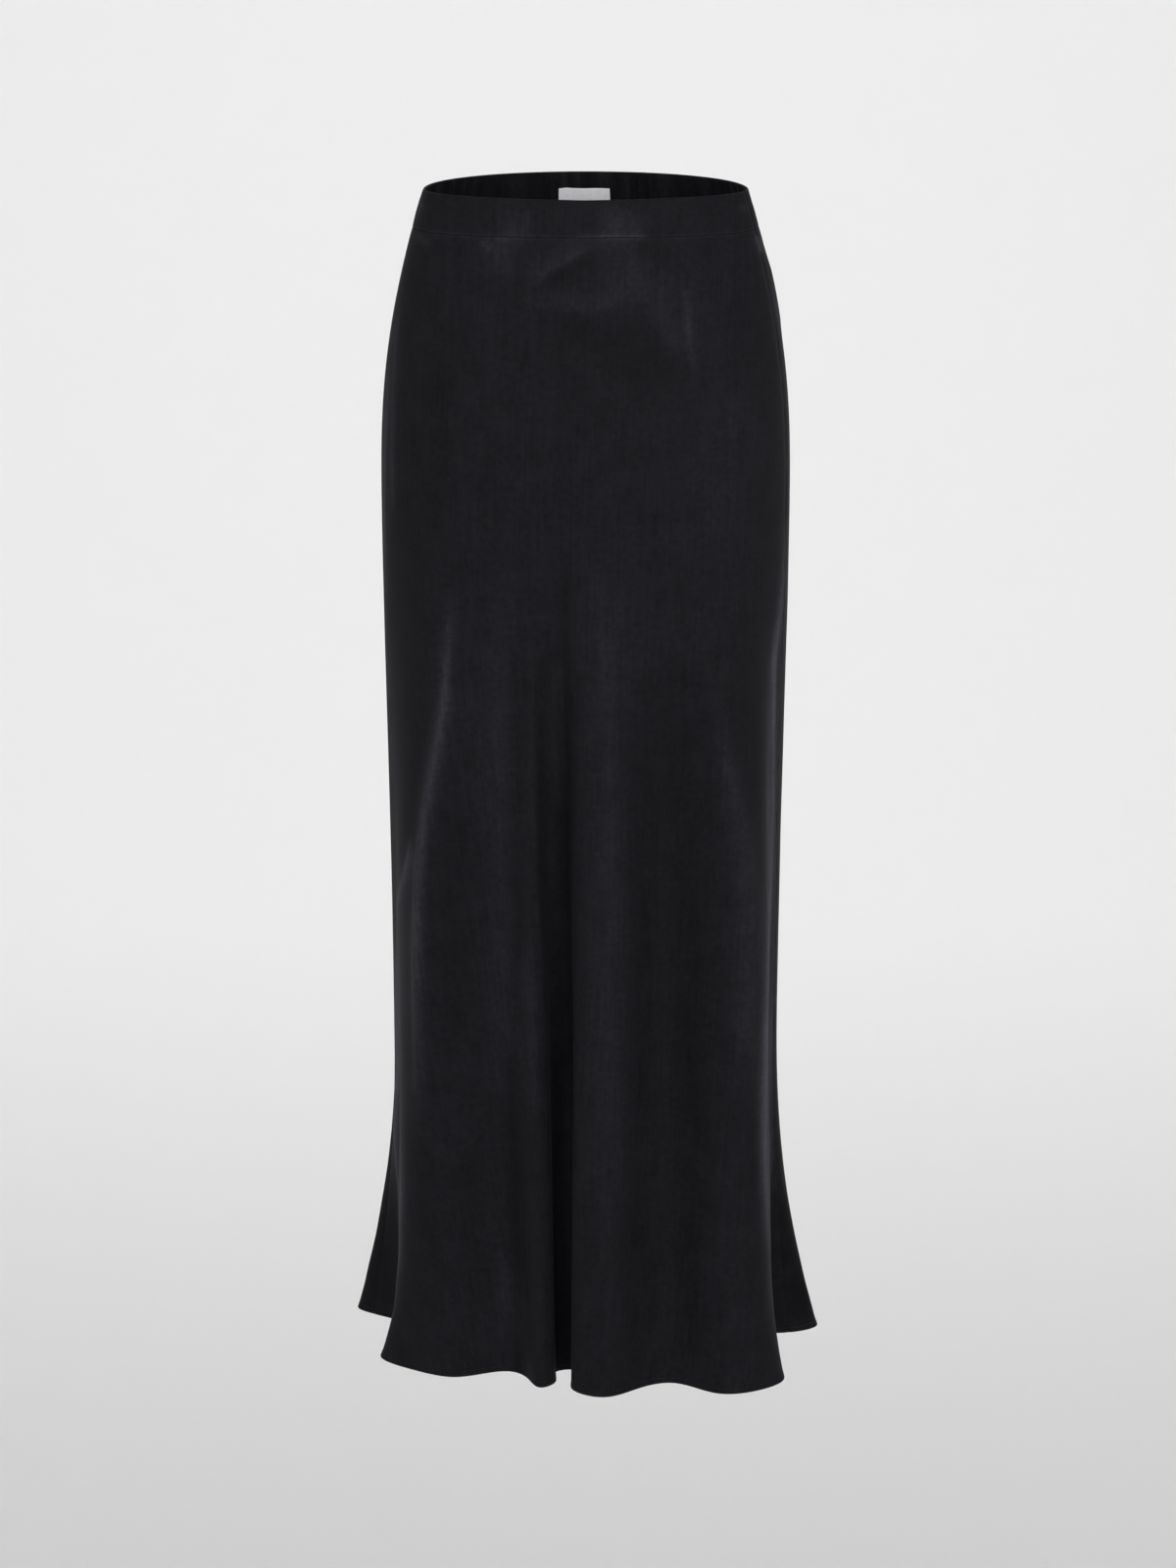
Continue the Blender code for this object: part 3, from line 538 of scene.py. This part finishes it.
def washed_cupro():
    """Sand-washed cupro: a fine twill of regenerated cellulose, tumbled with sand until it has a
    soft nap. It is matt and even from the front, cloudy where the sand took more or less of the
    dye, and paler where the sand rubbed its edges. Painted light is put into its colour too:
    painted highlights on the crests of the creases and painted shade in their troughs and hollows.
    On the bias the ribs of the twill and their uneven streaks run down the skirt."""
    material = bpy.data.materials.new("sand_washed_cupro")
    material.use_nodes = True
    tree = material.node_tree
    shader = tree.nodes["Principled BSDF"]
    shader.inputs["Specular IOR Level"].default_value = 0.035
    shader.inputs["Sheen Weight"].default_value = 0.02
    shader.inputs["Sheen Roughness"].default_value = 0.45
    shader.inputs["Sheen Tint"].default_value = linear("#d8d8e4")
    uv = node(tree, "ShaderNodeUVMap", {"uv_map": "cloth"}).outputs["UV"]
    nap = node(tree, "ShaderNodeTexNoise",
               {"Scale": 1000 / NAP_TUFT, "Detail": 3.0, "Roughness": 0.6}, Vector=uv)
    clouds = node(tree, "ShaderNodeTexNoise",
                  {"Scale": 1000 / CLOUD, "Detail": 4.0, "Roughness": 0.6}, Vector=uv)
    drawn_out = node(tree, "ShaderNodeMapping",
                     {"Scale": (1000 / STREAK_WIDTH, 1000 / STREAK_LENGTH, 1.0)}, Vector=uv)
    streaks = node(tree, "ShaderNodeTexNoise", {"Scale": 1.0, "Detail": 2.0, "Roughness": 0.5},
                   Vector=drawn_out.outputs["Vector"])
    # the noise's own grid is turned by an eighth, out of line with the nap's
    upright = node(tree, "ShaderNodeMapping",
                   {"Rotation": (0.0, 0.0, 0.785), "Scale": (1.0, RIB_STRETCH, 1.0)}, Vector=uv)
    ribs = node(tree, "ShaderNodeTexNoise",
                {"Scale": 1000 / RIB_WIDTH, "Detail": 1.0, "Roughness": 0.5},
                Vector=upright.outputs["Vector"])
    uneven = node(tree, "ShaderNodeMix", {"data_type": "FLOAT", "Factor": 0.4},
                  A=nap.outputs["Fac"], B=clouds.outputs["Fac"])
    mottle = node(tree, "ShaderNodeMix", {"data_type": "FLOAT", "Factor": 0.25},
                  A=uneven.outputs["Result"], B=streaks.outputs["Fac"])
    dye = node(tree, "ShaderNodeValToRGB", Fac=mottle.outputs["Result"])
    dye.color_ramp.elements[0].position = 0.36
    dye.color_ramp.elements[0].color = linear("#b9b9b9")
    dye.color_ramp.elements[1].position = 0.64
    dye.color_ramp.elements[1].color = linear("#ffffff")
    # the attribute holds painted light and the sand's rubbed paleness: below zero it darkens the cloth
    # towards the painted shade colour, above zero it pales it towards the colour of rubbed edges and
    # painted highlights
    light_and_wear = node(tree, "ShaderNodeAttribute", {"attribute_name": "worn"})
    light_and_wear_range = node(tree, "ShaderNodeMapRange", {"From Min": -1.0, "From Max": 1.0},
                   Value=light_and_wear.outputs["Fac"])
    tones = node(tree, "ShaderNodeValToRGB", Fac=light_and_wear_range.outputs["Result"])
    tones.color_ramp.elements[0].color = linear(PAINTED_SHADE_COLOUR)
    tones.color_ramp.elements[1].color = linear(RUBBED_AND_PAINTED_HIGHLIGHT_COLOUR)
    tones.color_ramp.elements.new(0.5).color = linear(BLACK_DYE)
    # a Mix node's colours are its inputs 6 and 7 and its output 2
    coloured = node(tree, "ShaderNodeMix", {"data_type": "RGBA", "blend_type": "MULTIPLY", "Factor": 1.0})
    tree.links.new(coloured.inputs[6], tones.outputs["Color"])
    tree.links.new(coloured.inputs[7], dye.outputs["Color"])
    tree.links.new(shader.inputs["Base Color"], coloured.outputs[2])
    rough = node(tree, "ShaderNodeMapRange",
                 {"From Min": 0.3, "From Max": 0.7, "To Min": CUPRO_ROUGHNESS - 0.06,
                  "To Max": CUPRO_ROUGHNESS + 0.06}, Value=mottle.outputs["Result"])
    tree.links.new(shader.inputs["Roughness"], rough.outputs["Result"])
    weave = node(tree, "ShaderNodeMix", {"data_type": "FLOAT", "Factor": 0.4},
                 A=nap.outputs["Fac"], B=ribs.outputs["Fac"])
    bump = node(tree, "ShaderNodeBump", {"Strength": 0.16, "Distance": 0.0004},
                Height=weave.outputs["Result"])
    tree.links.new(shader.inputs["Normal"], bump.outputs["Normal"])
    return material


cupro = washed_cupro()

TOP_STEP = 0.0022               # row spacing over the waist and hips, where fine creases are
LOW_STEP = 0.0050               # and below
TOP_ROWS_END_Z = -0.120
COLUMN_STEP = 0.00255           # column spacing, at the height of COLUMNS_Z
COLUMNS_Z = -0.300
FINE_EDGE = [0.0, 0.00004, 0.00012, 0.00025, 0.0006, 0.0012, 0.0022]
FINE_HEM = [0.0, 0.00008, 0.0003, 0.0006, 0.0012, 0.0022, 0.0034, 0.0040, 0.0044, 0.0048, 0.0052,
            0.0062, 0.0085]
HEM_PROUD = 0.0003              # how far the turned hem stands out
HEM_FOLD = 0.00025              # height over which its two extra layers end
STITCH_ABOVE_HEM = 0.0044
STITCH_SINK, STITCH_SINK_WIDTH = 0.0004, 0.0005
SIDE_SINK, PUCKER_DEPTH, SIDE_SINK_WIDTH = 0.0004, 0.0005, 0.0030
PUCKER_PITCH = 0.034
WAIST_SINK = (0.0002, 0.0012)   # most and width, as falling takes them, and so the next three
# the waist seam's edges are rubbed paler, and painted paler too, a painted highlight that lifts the shade
# in the seam's crevice
WAIST_RUB_AND_PAINTED_HIGHLIGHT = (0.22, 0.0008)
SIDE_WEAR = (0.12, 0.0010)
HEM_WEAR = (0.10, 0.0008)
BAND_HEIGHT = 0.030
GATHER_COUNT = 26               # from seam to seam
GATHER_HEIGHT = 0.0009
GATHER_FADE = 0.030             # the elastic's gathers run on this far below the waistband
GATHER_SEAM = 0.012             # and flatten this far from the side seams


def gathers(shares, z):
    """Height (heights, shares) of the soft gathers that the elastic makes: ripples of uneven width
    and height, which lean a little. Each is uneven by sines whose pitches don't fit together."""
    wander = 0.8 * np.sin(9.1 * shares) + 0.45 * np.sin(31.0 * shares + 1.0)
    phase = 2 * np.pi * (shares * GATHER_COUNT + wander)
    uneven = 0.55 + 0.45 * np.sin(17.3 * shares + 0.6)
    lean = 1.4 * np.sin(23.0 * shares) * np.clip(z[:, None] / BAND_HEIGHT, -1.5, 1.5)
    return GATHER_HEIGHT * uneven * np.cos(phase[None] + lean)


def panel(name, start, node_name, gathered):
    """A skirt panel from share start to the next side seam: the cloth, with its creases, sunk
    along the seams and the hem's stitches, and thicker in the turned hem."""
    top = BAND_FOOT_Z - SEAM_GAP / 2
    upper = spaced(top, TOP_ROWS_END_Z, TOP_STEP, FINE_EDGE, [0.0, 0.001])
    lower = spaced(TOP_ROWS_END_Z, HEM_Z, LOW_STEP, [0.0, 0.001], FINE_HEM)
    z = np.concatenate([upper, lower[1:]])
    across = seam_to_seam(COLUMNS_Z, start)
    shares = start + spaced(0.0, across, COLUMN_STEP, FINE_EDGE, FINE_EDGE) / across
    points, normals = cloth(z, shares), outward(z, shares)
    along = lengths_along(points)
    from_seam = np.minimum(along, along[:, -1:] - along)
    from_top, from_hem = (top - z)[:, None], (z - HEM_Z)[:, None]
    border = np.minimum(np.minimum(from_seam, from_top), from_hem)
    turned = 1 / (1 + np.exp((from_hem - HEM_WIDTH) / HEM_FOLD))
    thickness = CLOTH_THICKNESS + (HEM_THICKNESS - CLOTH_THICKNESS) * turned + 0 * from_seam
    stitched = -STITCH_SINK * np.exp(-((from_hem - STITCH_ABOVE_HEM) / STITCH_SINK_WIDTH) ** 2)
    pucker = 0.5 + 0.5 * np.sin(2 * np.pi * z[:, None] / PUCKER_PITCH + 3 * np.sin(z[:, None] * 41))
    sunk = falling(from_seam, SIDE_SINK + PUCKER_DEPTH * pucker, SIDE_SINK_WIDTH)
    sunk = sunk + falling(from_top, *WAIST_SINK)
    creased, worn = crease_relief(points, normals)
    # the creases' painted light, and the edges that the sand rubbed paler; at the waist seam that paleness
    # is partly a painted highlight
    worn += falling(from_top, *WAIST_RUB_AND_PAINTED_HIGHLIGHT) + falling(from_seam, *SIDE_WEAR) + falling(from_hem, *HEM_WEAR)
    relief = creased + stitched + HEM_PROUD * turned - sunk
    if gathered:
        level = np.clip(from_seam / GATHER_SEAM, 0, 1)
        relief = relief + falling(from_top, gathers(shares, z), GATHER_FADE) * level
    piece = wall(name, points, normals, relief, worn, thickness, border, cupro)
    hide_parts(node_name)
    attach(piece, "root")
    return piece


front_panel = panel("front_panel_cloth", 0, "front_panel", gathered=False)
back_panel = panel("back_panel_cloth", 1, "back_panel", gathered=True)

# ---------------------------------------- Hem stitches
# One row of black cotton thread right round the hem, sewn by machine through all three layers
# of the turned cloth.
STITCH_PITCH = 0.0032
STITCH_LENGTH = 0.0025
THREAD_RADIUS = 0.00016
THREAD_SIDES = 6
THREAD_FIBRE = 0.5              # mm, coarser than the real one
HEM_SAMPLES = 4000


def cotton_thread():
    """Black cotton thread, twisted and a little glossy. Its fibres, drawn coarse along it, give
    it a broken shine."""
    material = bpy.data.materials.new("black_cotton_thread")
    material.use_nodes = True
    tree = material.node_tree
    shader = tree.nodes["Principled BSDF"]
    shader.inputs["Roughness"].default_value = 0.6
    shader.inputs["Specular IOR Level"].default_value = 0.2
    place = node(tree, "ShaderNodeTexCoord").outputs["Object"]
    fibre = node(tree, "ShaderNodeTexNoise", {"Scale": 1000 / THREAD_FIBRE, "Detail": 1.0}, Vector=place)
    tones = node(tree, "ShaderNodeValToRGB", Fac=fibre.outputs["Fac"])
    tones.color_ramp.elements[0].color = linear("#101013")
    tones.color_ramp.elements[1].color = linear("#2a2a2f")
    tree.links.new(shader.inputs["Base Color"], tones.outputs["Color"])
    return material


def hem_stitches():
    """Short round threads, thin at both ends, in a row on the outer face above the hem. Each is a
    tube whose radius is that of the thread times sqrt(1 - t^4) and which bends into the cloth as
    t^2, with t from -1 to 1 along it."""
    z = np.array([HEM_Z + STITCH_ABOVE_HEM])
    even = np.linspace(0, 2, HEM_SAMPLES + 1)[:-1]
    length = lengths_along(cloth(z, even))[0]
    count = int(round(length[-1] / STITCH_PITCH))
    shares = np.interp(np.arange(count) * length[-1] / count, length, even)
    middle = cloth(z, shares)[0]
    normal = outward(z, shares)[0]
    ahead = cloth(z, shares + 0.0004)[0] - cloth(z, shares - 0.0004)[0]
    ahead = ahead / np.linalg.norm(ahead, axis=1, keepdims=True)
    beside = np.cross(normal, ahead)
    t = np.array([-0.98, -0.7, 0.0, 0.7, 0.98])
    turn = np.linspace(0, 2 * np.pi, THREAD_SIDES + 1)[:-1]
    radius = THREAD_RADIUS * np.sqrt(1 - t ** 4)
    raised = 0.0001 - 0.0002 * t ** 2
    along = (t * STITCH_LENGTH / 2)[None, :, None, None] * ahead[:, None, None]
    out = (radius[:, None] * np.cos(turn) + raised[:, None])[None, :, :, None] * normal[:, None, None]
    up = (radius[:, None] * np.sin(turn))[None, :, :, None] * beside[:, None, None]
    tubes = middle[:, None, None] + along + out + up
    number = np.arange(count * len(t) * THREAD_SIDES).reshape(count, len(t), THREAD_SIDES)
    following = np.roll(number, -1, axis=2)
    sides = np.stack([number[:, :-1], following[:, :-1], following[:, 1:], number[:, 1:]], axis=-1)
    ends = np.concatenate([number[:, 0, ::-1], number[:, -1]])
    faces = sides.reshape(-1, 4).tolist() + ends.tolist()
    piece = smooth_mesh("hem_stitches", tubes.reshape(-1, 3), faces, cotton_thread())
    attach(piece, "root")


hem_stitches()

# ---------------------------------------- Waistbands
# A band of the same cloth, folded double along its top edge and sewn to the panels. The front
# half is plain. The back half holds an elastic, which gathers it softly.
BAND_THICKNESS = 0.0020
BAND_STEP = 0.0013
BAND_EDGE = [0.0, 0.00015, 0.0005, 0.0010, 0.0016]
BAND_PUFF = 0.0004              # between rim and foot it swells by this
BAND_SIDE_SINK = (0.0005, 0.0020)
BAND_GATHER = 1.3               # the gathers are this much higher than in the panel
FOOT_SQUARENESS = 2.5           # the foot's edge is rounded this much less than the others
RIM_SMOOTH = 0.010              # the gathers start this far below the rim
RIM_DIP = 0.0015                # the rim sinks a little at the centre front
RIM_DIP_WIDTH = 0.075
RIM_DIP_DEPTH = 0.012


def band(name, start, node_name, gathered):
    """Half of the waistband, from share start to the next side seam: the cloth, swelling by a
    sine from rim to foot, with its creases, and sunk along the side seams."""
    foot = BAND_FOOT_Z + SEAM_GAP / 2
    z = spaced(RIM_Z, foot, BAND_STEP, BAND_EDGE, BAND_EDGE)
    across = seam_to_seam(0.0, start)
    shares = start + spaced(0.0, across, BAND_STEP, BAND_EDGE, BAND_EDGE) / across
    points, normals = cloth(z, shares), outward(z, shares)
    along = lengths_along(points)
    from_seam = np.minimum(along, along[:, -1:] - along)
    from_rim, from_foot = (RIM_Z - z)[:, None], (z - foot)[:, None]
    border = np.minimum(np.minimum(from_seam, from_rim), FOOT_SQUARENESS * from_foot)
    puffed = BAND_PUFF * np.sin(np.pi * (z - foot) / (RIM_Z - foot))[:, None]
    creased, worn = crease_relief(points, normals)
    # the creases' painted light, and the edges that the sand rubbed paler; at the seam that paleness is
    # partly a painted highlight
    worn += falling(from_foot, *WAIST_RUB_AND_PAINTED_HIGHLIGHT) + falling(from_seam, *SIDE_WEAR)
    relief = puffed - falling(from_seam, *BAND_SIDE_SINK) + creased
    inner_painted_light = 0.0
    if gathered:
        ripple = gathers(shares, z) * np.clip(from_seam / GATHER_SEAM, 0, 1)
        relief = relief + BAND_GATHER * ripple * np.clip(from_rim / RIM_SMOOTH, 0, 1)
        # inside, painted shade darkens each gather's hollow and a painted highlight pales its ridge,
        # and unevenly so
        inner_painted_light = -0.10 * ripple / GATHER_HEIGHT + 0.06 * np.sin(shares * 61)
    else:
        dip = RIM_DIP * np.exp(-(points[..., 0] / RIM_DIP_WIDTH) ** 2)
        points[..., 2] -= dip * np.clip(1 - from_rim / RIM_DIP_DEPTH, 0, 1)
    thickness = BAND_THICKNESS + 0 * from_seam
    piece = wall(name, points, normals, relief, worn, thickness, border, cupro, inner_painted_light)
    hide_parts(node_name)
    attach(piece, "root")
    return piece


front_band = band("front_waistband_cloth", 0, "front_waistband", gathered=False)
back_band = band("back_waistband_cloth", 1, "back_waistband", gathered=True)

# ---------------------------------------- Label
# A white label of woven tape, its ends turned under, sewn inside the centre back. It is left
# bare.
LABEL_WIDTH, LABEL_HEIGHT = 0.0415, 0.016
LABEL_MIDDLE = -0.0012
LABEL_THICKNESS = 0.0008
LABEL_TOP_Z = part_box("label")[1].z
LABEL_STEP = 0.0008
LABEL_EDGE = [0.0, 0.0001, 0.0004]
LABEL_GAP = SEAM_GAP + 0.0012   # between the waistband's inner face and the label's outer one
SWELLING_AT, SWELLING_WIDTH = -0.0150, 0.0035
SWELLING_OUT, SWELLING_UP = 0.0008, 0.0007
WAVE_HEIGHT, WAVE_LENGTH = 0.0003, 0.024
TAPE_RIB = 1.603                # mm from rib to rib, where the real tape has 0.3
TAPE_PATCH = 5.556              # mm


def woven_tape():
    """White polyester tape, woven in fine ribs that run up and down, matt and soft. It is a little
    grey in patches, as white tape on black cloth is after a wash."""
    material = bpy.data.materials.new("woven_label_tape")
    material.use_nodes = True
    tree = material.node_tree
    shader = tree.nodes["Principled BSDF"]
    shader.inputs["Roughness"].default_value = 0.7
    uv = node(tree, "ShaderNodeUVMap", {"uv_map": "cloth"}).outputs["UV"]
    # a Wave node's scale of 1 gives 20 waves in 2 pi metres
    ribs = node(tree, "ShaderNodeTexWave", {"Scale": 1000 * np.pi / 10 / TAPE_RIB, "Distortion": 0.4},
                Vector=uv)
    patches = node(tree, "ShaderNodeTexNoise", {"Scale": 1000 / TAPE_PATCH, "Detail": 2.0}, Vector=uv)
    tones = node(tree, "ShaderNodeValToRGB", Fac=patches.outputs["Fac"])
    tones.color_ramp.elements[0].position = 0.3
    tones.color_ramp.elements[0].color = linear("#f0f0f4")
    tones.color_ramp.elements[1].position = 0.7
    tones.color_ramp.elements[1].color = linear("#fcfcff")
    tree.links.new(shader.inputs["Base Color"], tones.outputs["Color"])
    bump = node(tree, "ShaderNodeBump", {"Strength": 0.25, "Distance": 0.0002}, Height=ribs.outputs["Fac"])
    tree.links.new(shader.inputs["Normal"], bump.outputs["Normal"])
    return material


def label():
    """The label, on the inside of the back waistband. It stands off a little in one soft swelling,
    exp(-d^2) with d the distance from its middle, and in a shallow cosine wave."""
    z = spaced(LABEL_TOP_Z, LABEL_TOP_Z - LABEL_HEIGHT, LABEL_STEP, LABEL_EDGE, LABEL_EDGE)
    shares = np.linspace(1.3, 1.7, SEAM_SAMPLES + 1)
    across = cloth(z[:1], shares)[0, :, 0]
    places = spaced(-LABEL_WIDTH / 2, LABEL_WIDTH / 2, LABEL_STEP, LABEL_EDGE, LABEL_EDGE)
    shares = np.interp(places + LABEL_MIDDLE, across[::-1], shares[::-1])
    points, normals = cloth(z, shares), -outward(z, shares)
    points = points + (BAND_THICKNESS + LABEL_GAP) * normals
    swelling = np.exp(-((places - SWELLING_AT) / SWELLING_WIDTH) ** 2)[None]
    points[..., 2] += SWELLING_UP * swelling
    ends = np.minimum(places - places[0], places[-1] - places)[None]
    border = np.minimum(ends, np.minimum(z[0] - z, z - z[-1])[:, None])
    wave = WAVE_HEIGHT * np.cos(2 * np.pi * places / WAVE_LENGTH)[None]
    relief = wave + SWELLING_OUT * swelling + 0 * border
    thickness = LABEL_THICKNESS + 0 * border
    piece = wall("woven_label", points, normals, relief, 0 * relief, thickness, border, woven_tape())
    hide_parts("label")
    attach(piece, "root")


label()

# ---------------------------------------- Floor and light
# A pale studio floor, round, that sweeps up into a wall all round the skirt. The wall behind is
# lit on its own. The skirt has a softbox high in front, one on each side of the camera, and weaker
# ones beside it, which catch the edges of the folds.
FLOOR_Z = -2.200
FLAT_RADIUS = 3.000
SWEEP_RADIUS = 3.000
WALL_RADIUS = 9.000
WALL_TOP_Z = 6.000
FLOOR_SIDES = 96
SWEEP_STEPS = 24


def studio_floor():
    """The floor, sweep and wall as one turned profile: flat, then a quarter circle, then upright."""
    turn = np.linspace(0, np.pi / 2, SWEEP_STEPS + 1)
    sweep_radius = WALL_RADIUS - SWEEP_RADIUS * (1 - np.sin(turn))
    sweep_z = SWEEP_RADIUS * (1 - np.cos(turn))
    radius = np.concatenate([[0.01, FLAT_RADIUS], sweep_radius, [WALL_RADIUS]])[:, None]
    z = np.concatenate([[0.0, 0.0], sweep_z, [WALL_TOP_Z - FLOOR_Z]])[:, None] + FLOOR_Z
    bearing = np.linspace(0, 2 * np.pi, FLOOR_SIDES + 1)[:-1]
    bowl = np.stack([radius * np.sin(bearing), radius * np.cos(bearing), z + 0 * bearing], axis=-1)
    number = np.arange(bowl.shape[0] * bowl.shape[1]).reshape(bowl.shape[:2])
    following = np.roll(number, -1, axis=1)
    faces = np.stack([number[:-1], number[1:], following[1:], following[:-1]], axis=-1).reshape(-1, 4)
    paint = bpy.data.materials.new("pale_studio_paint")
    paint.use_nodes = True
    shader = paint.node_tree.nodes["Principled BSDF"]
    shader.inputs["Base Color"].default_value = linear("#e6e6e6")
    shader.inputs["Roughness"].default_value = 0.9
    shader.inputs["Specular IOR Level"].default_value = 0.0
    faces = faces.tolist() + [number[0].tolist()]
    smooth_mesh("studio_floor", bowl.reshape(-1, 3), faces, paint)


studio_floor()

# A light's place, the point it faces, its width and height, and its power in watts.
Light = namedtuple("Light", "name place aim width height power")
LIGHTS = [
    Light("backdrop_wash", (0.0, 5.5, 5.5), (0.0, 9.0, -1.5), 10.0, 1.5, 340.0),
    Light("backdrop_glow", (0.0, 4.6, 3.6), (0.0, 8.6, -0.8), 3.0, 1.0, 80.0),
    Light("front_high_softbox", (0.0, -2.60, 1.74), (0.0, 0.0, -0.45), 1.6, 1.2, 37.0),
    Light("front_right_softbox", (1.64, -2.84, 0.20), (0.0, 0.0, -0.65), 1.0, 1.2, 42.0),
    Light("front_left_softbox", (-1.64, -2.84, 0.20), (0.0, 0.0, -0.65), 1.0, 1.2, 20.0),
    Light("left_softbox", (-2.90, -1.67, 0.14), (0.0, 0.0, -0.45), 1.0, 1.8, 12.0),
    Light("left_strip", (-2.97, 0.0, -0.03), (0.0, 0.0, -0.45), 0.6, 2.0, 10.0),
    Light("right_strip", (2.97, 0.0, -0.03), (0.0, 0.0, -0.45), 0.6, 2.0, 14.0),
]
AIR_GLOW = 0.05                 # light from all round, which fills the shadows a little

for light in LIGHTS:
    lamp = bpy.data.lights.new(light.name, "AREA")
    lamp.shape = "RECTANGLE"
    lamp.size, lamp.size_y, lamp.energy = light.width, light.height, light.power
    lamp_object = bpy.data.objects.new(light.name, lamp)
    lamp_object.location = light.place
    toward = Vector(light.aim) - Vector(light.place)
    lamp_object.rotation_euler = toward.to_track_quat("-Z", "Y").to_euler()
    lamp_object.visible_camera = False
    bpy.context.scene.collection.objects.link(lamp_object)

world = bpy.data.worlds.new("studio_air")
world.use_nodes = True
world.node_tree.nodes["Background"].inputs["Color"].default_value = (1.0, 1.0, 1.0, 1.0)
world.node_tree.nodes["Background"].inputs["Strength"].default_value = AIR_GLOW
bpy.context.scene.world = world
bpy.context.scene.view_settings.view_transform = "Standard"
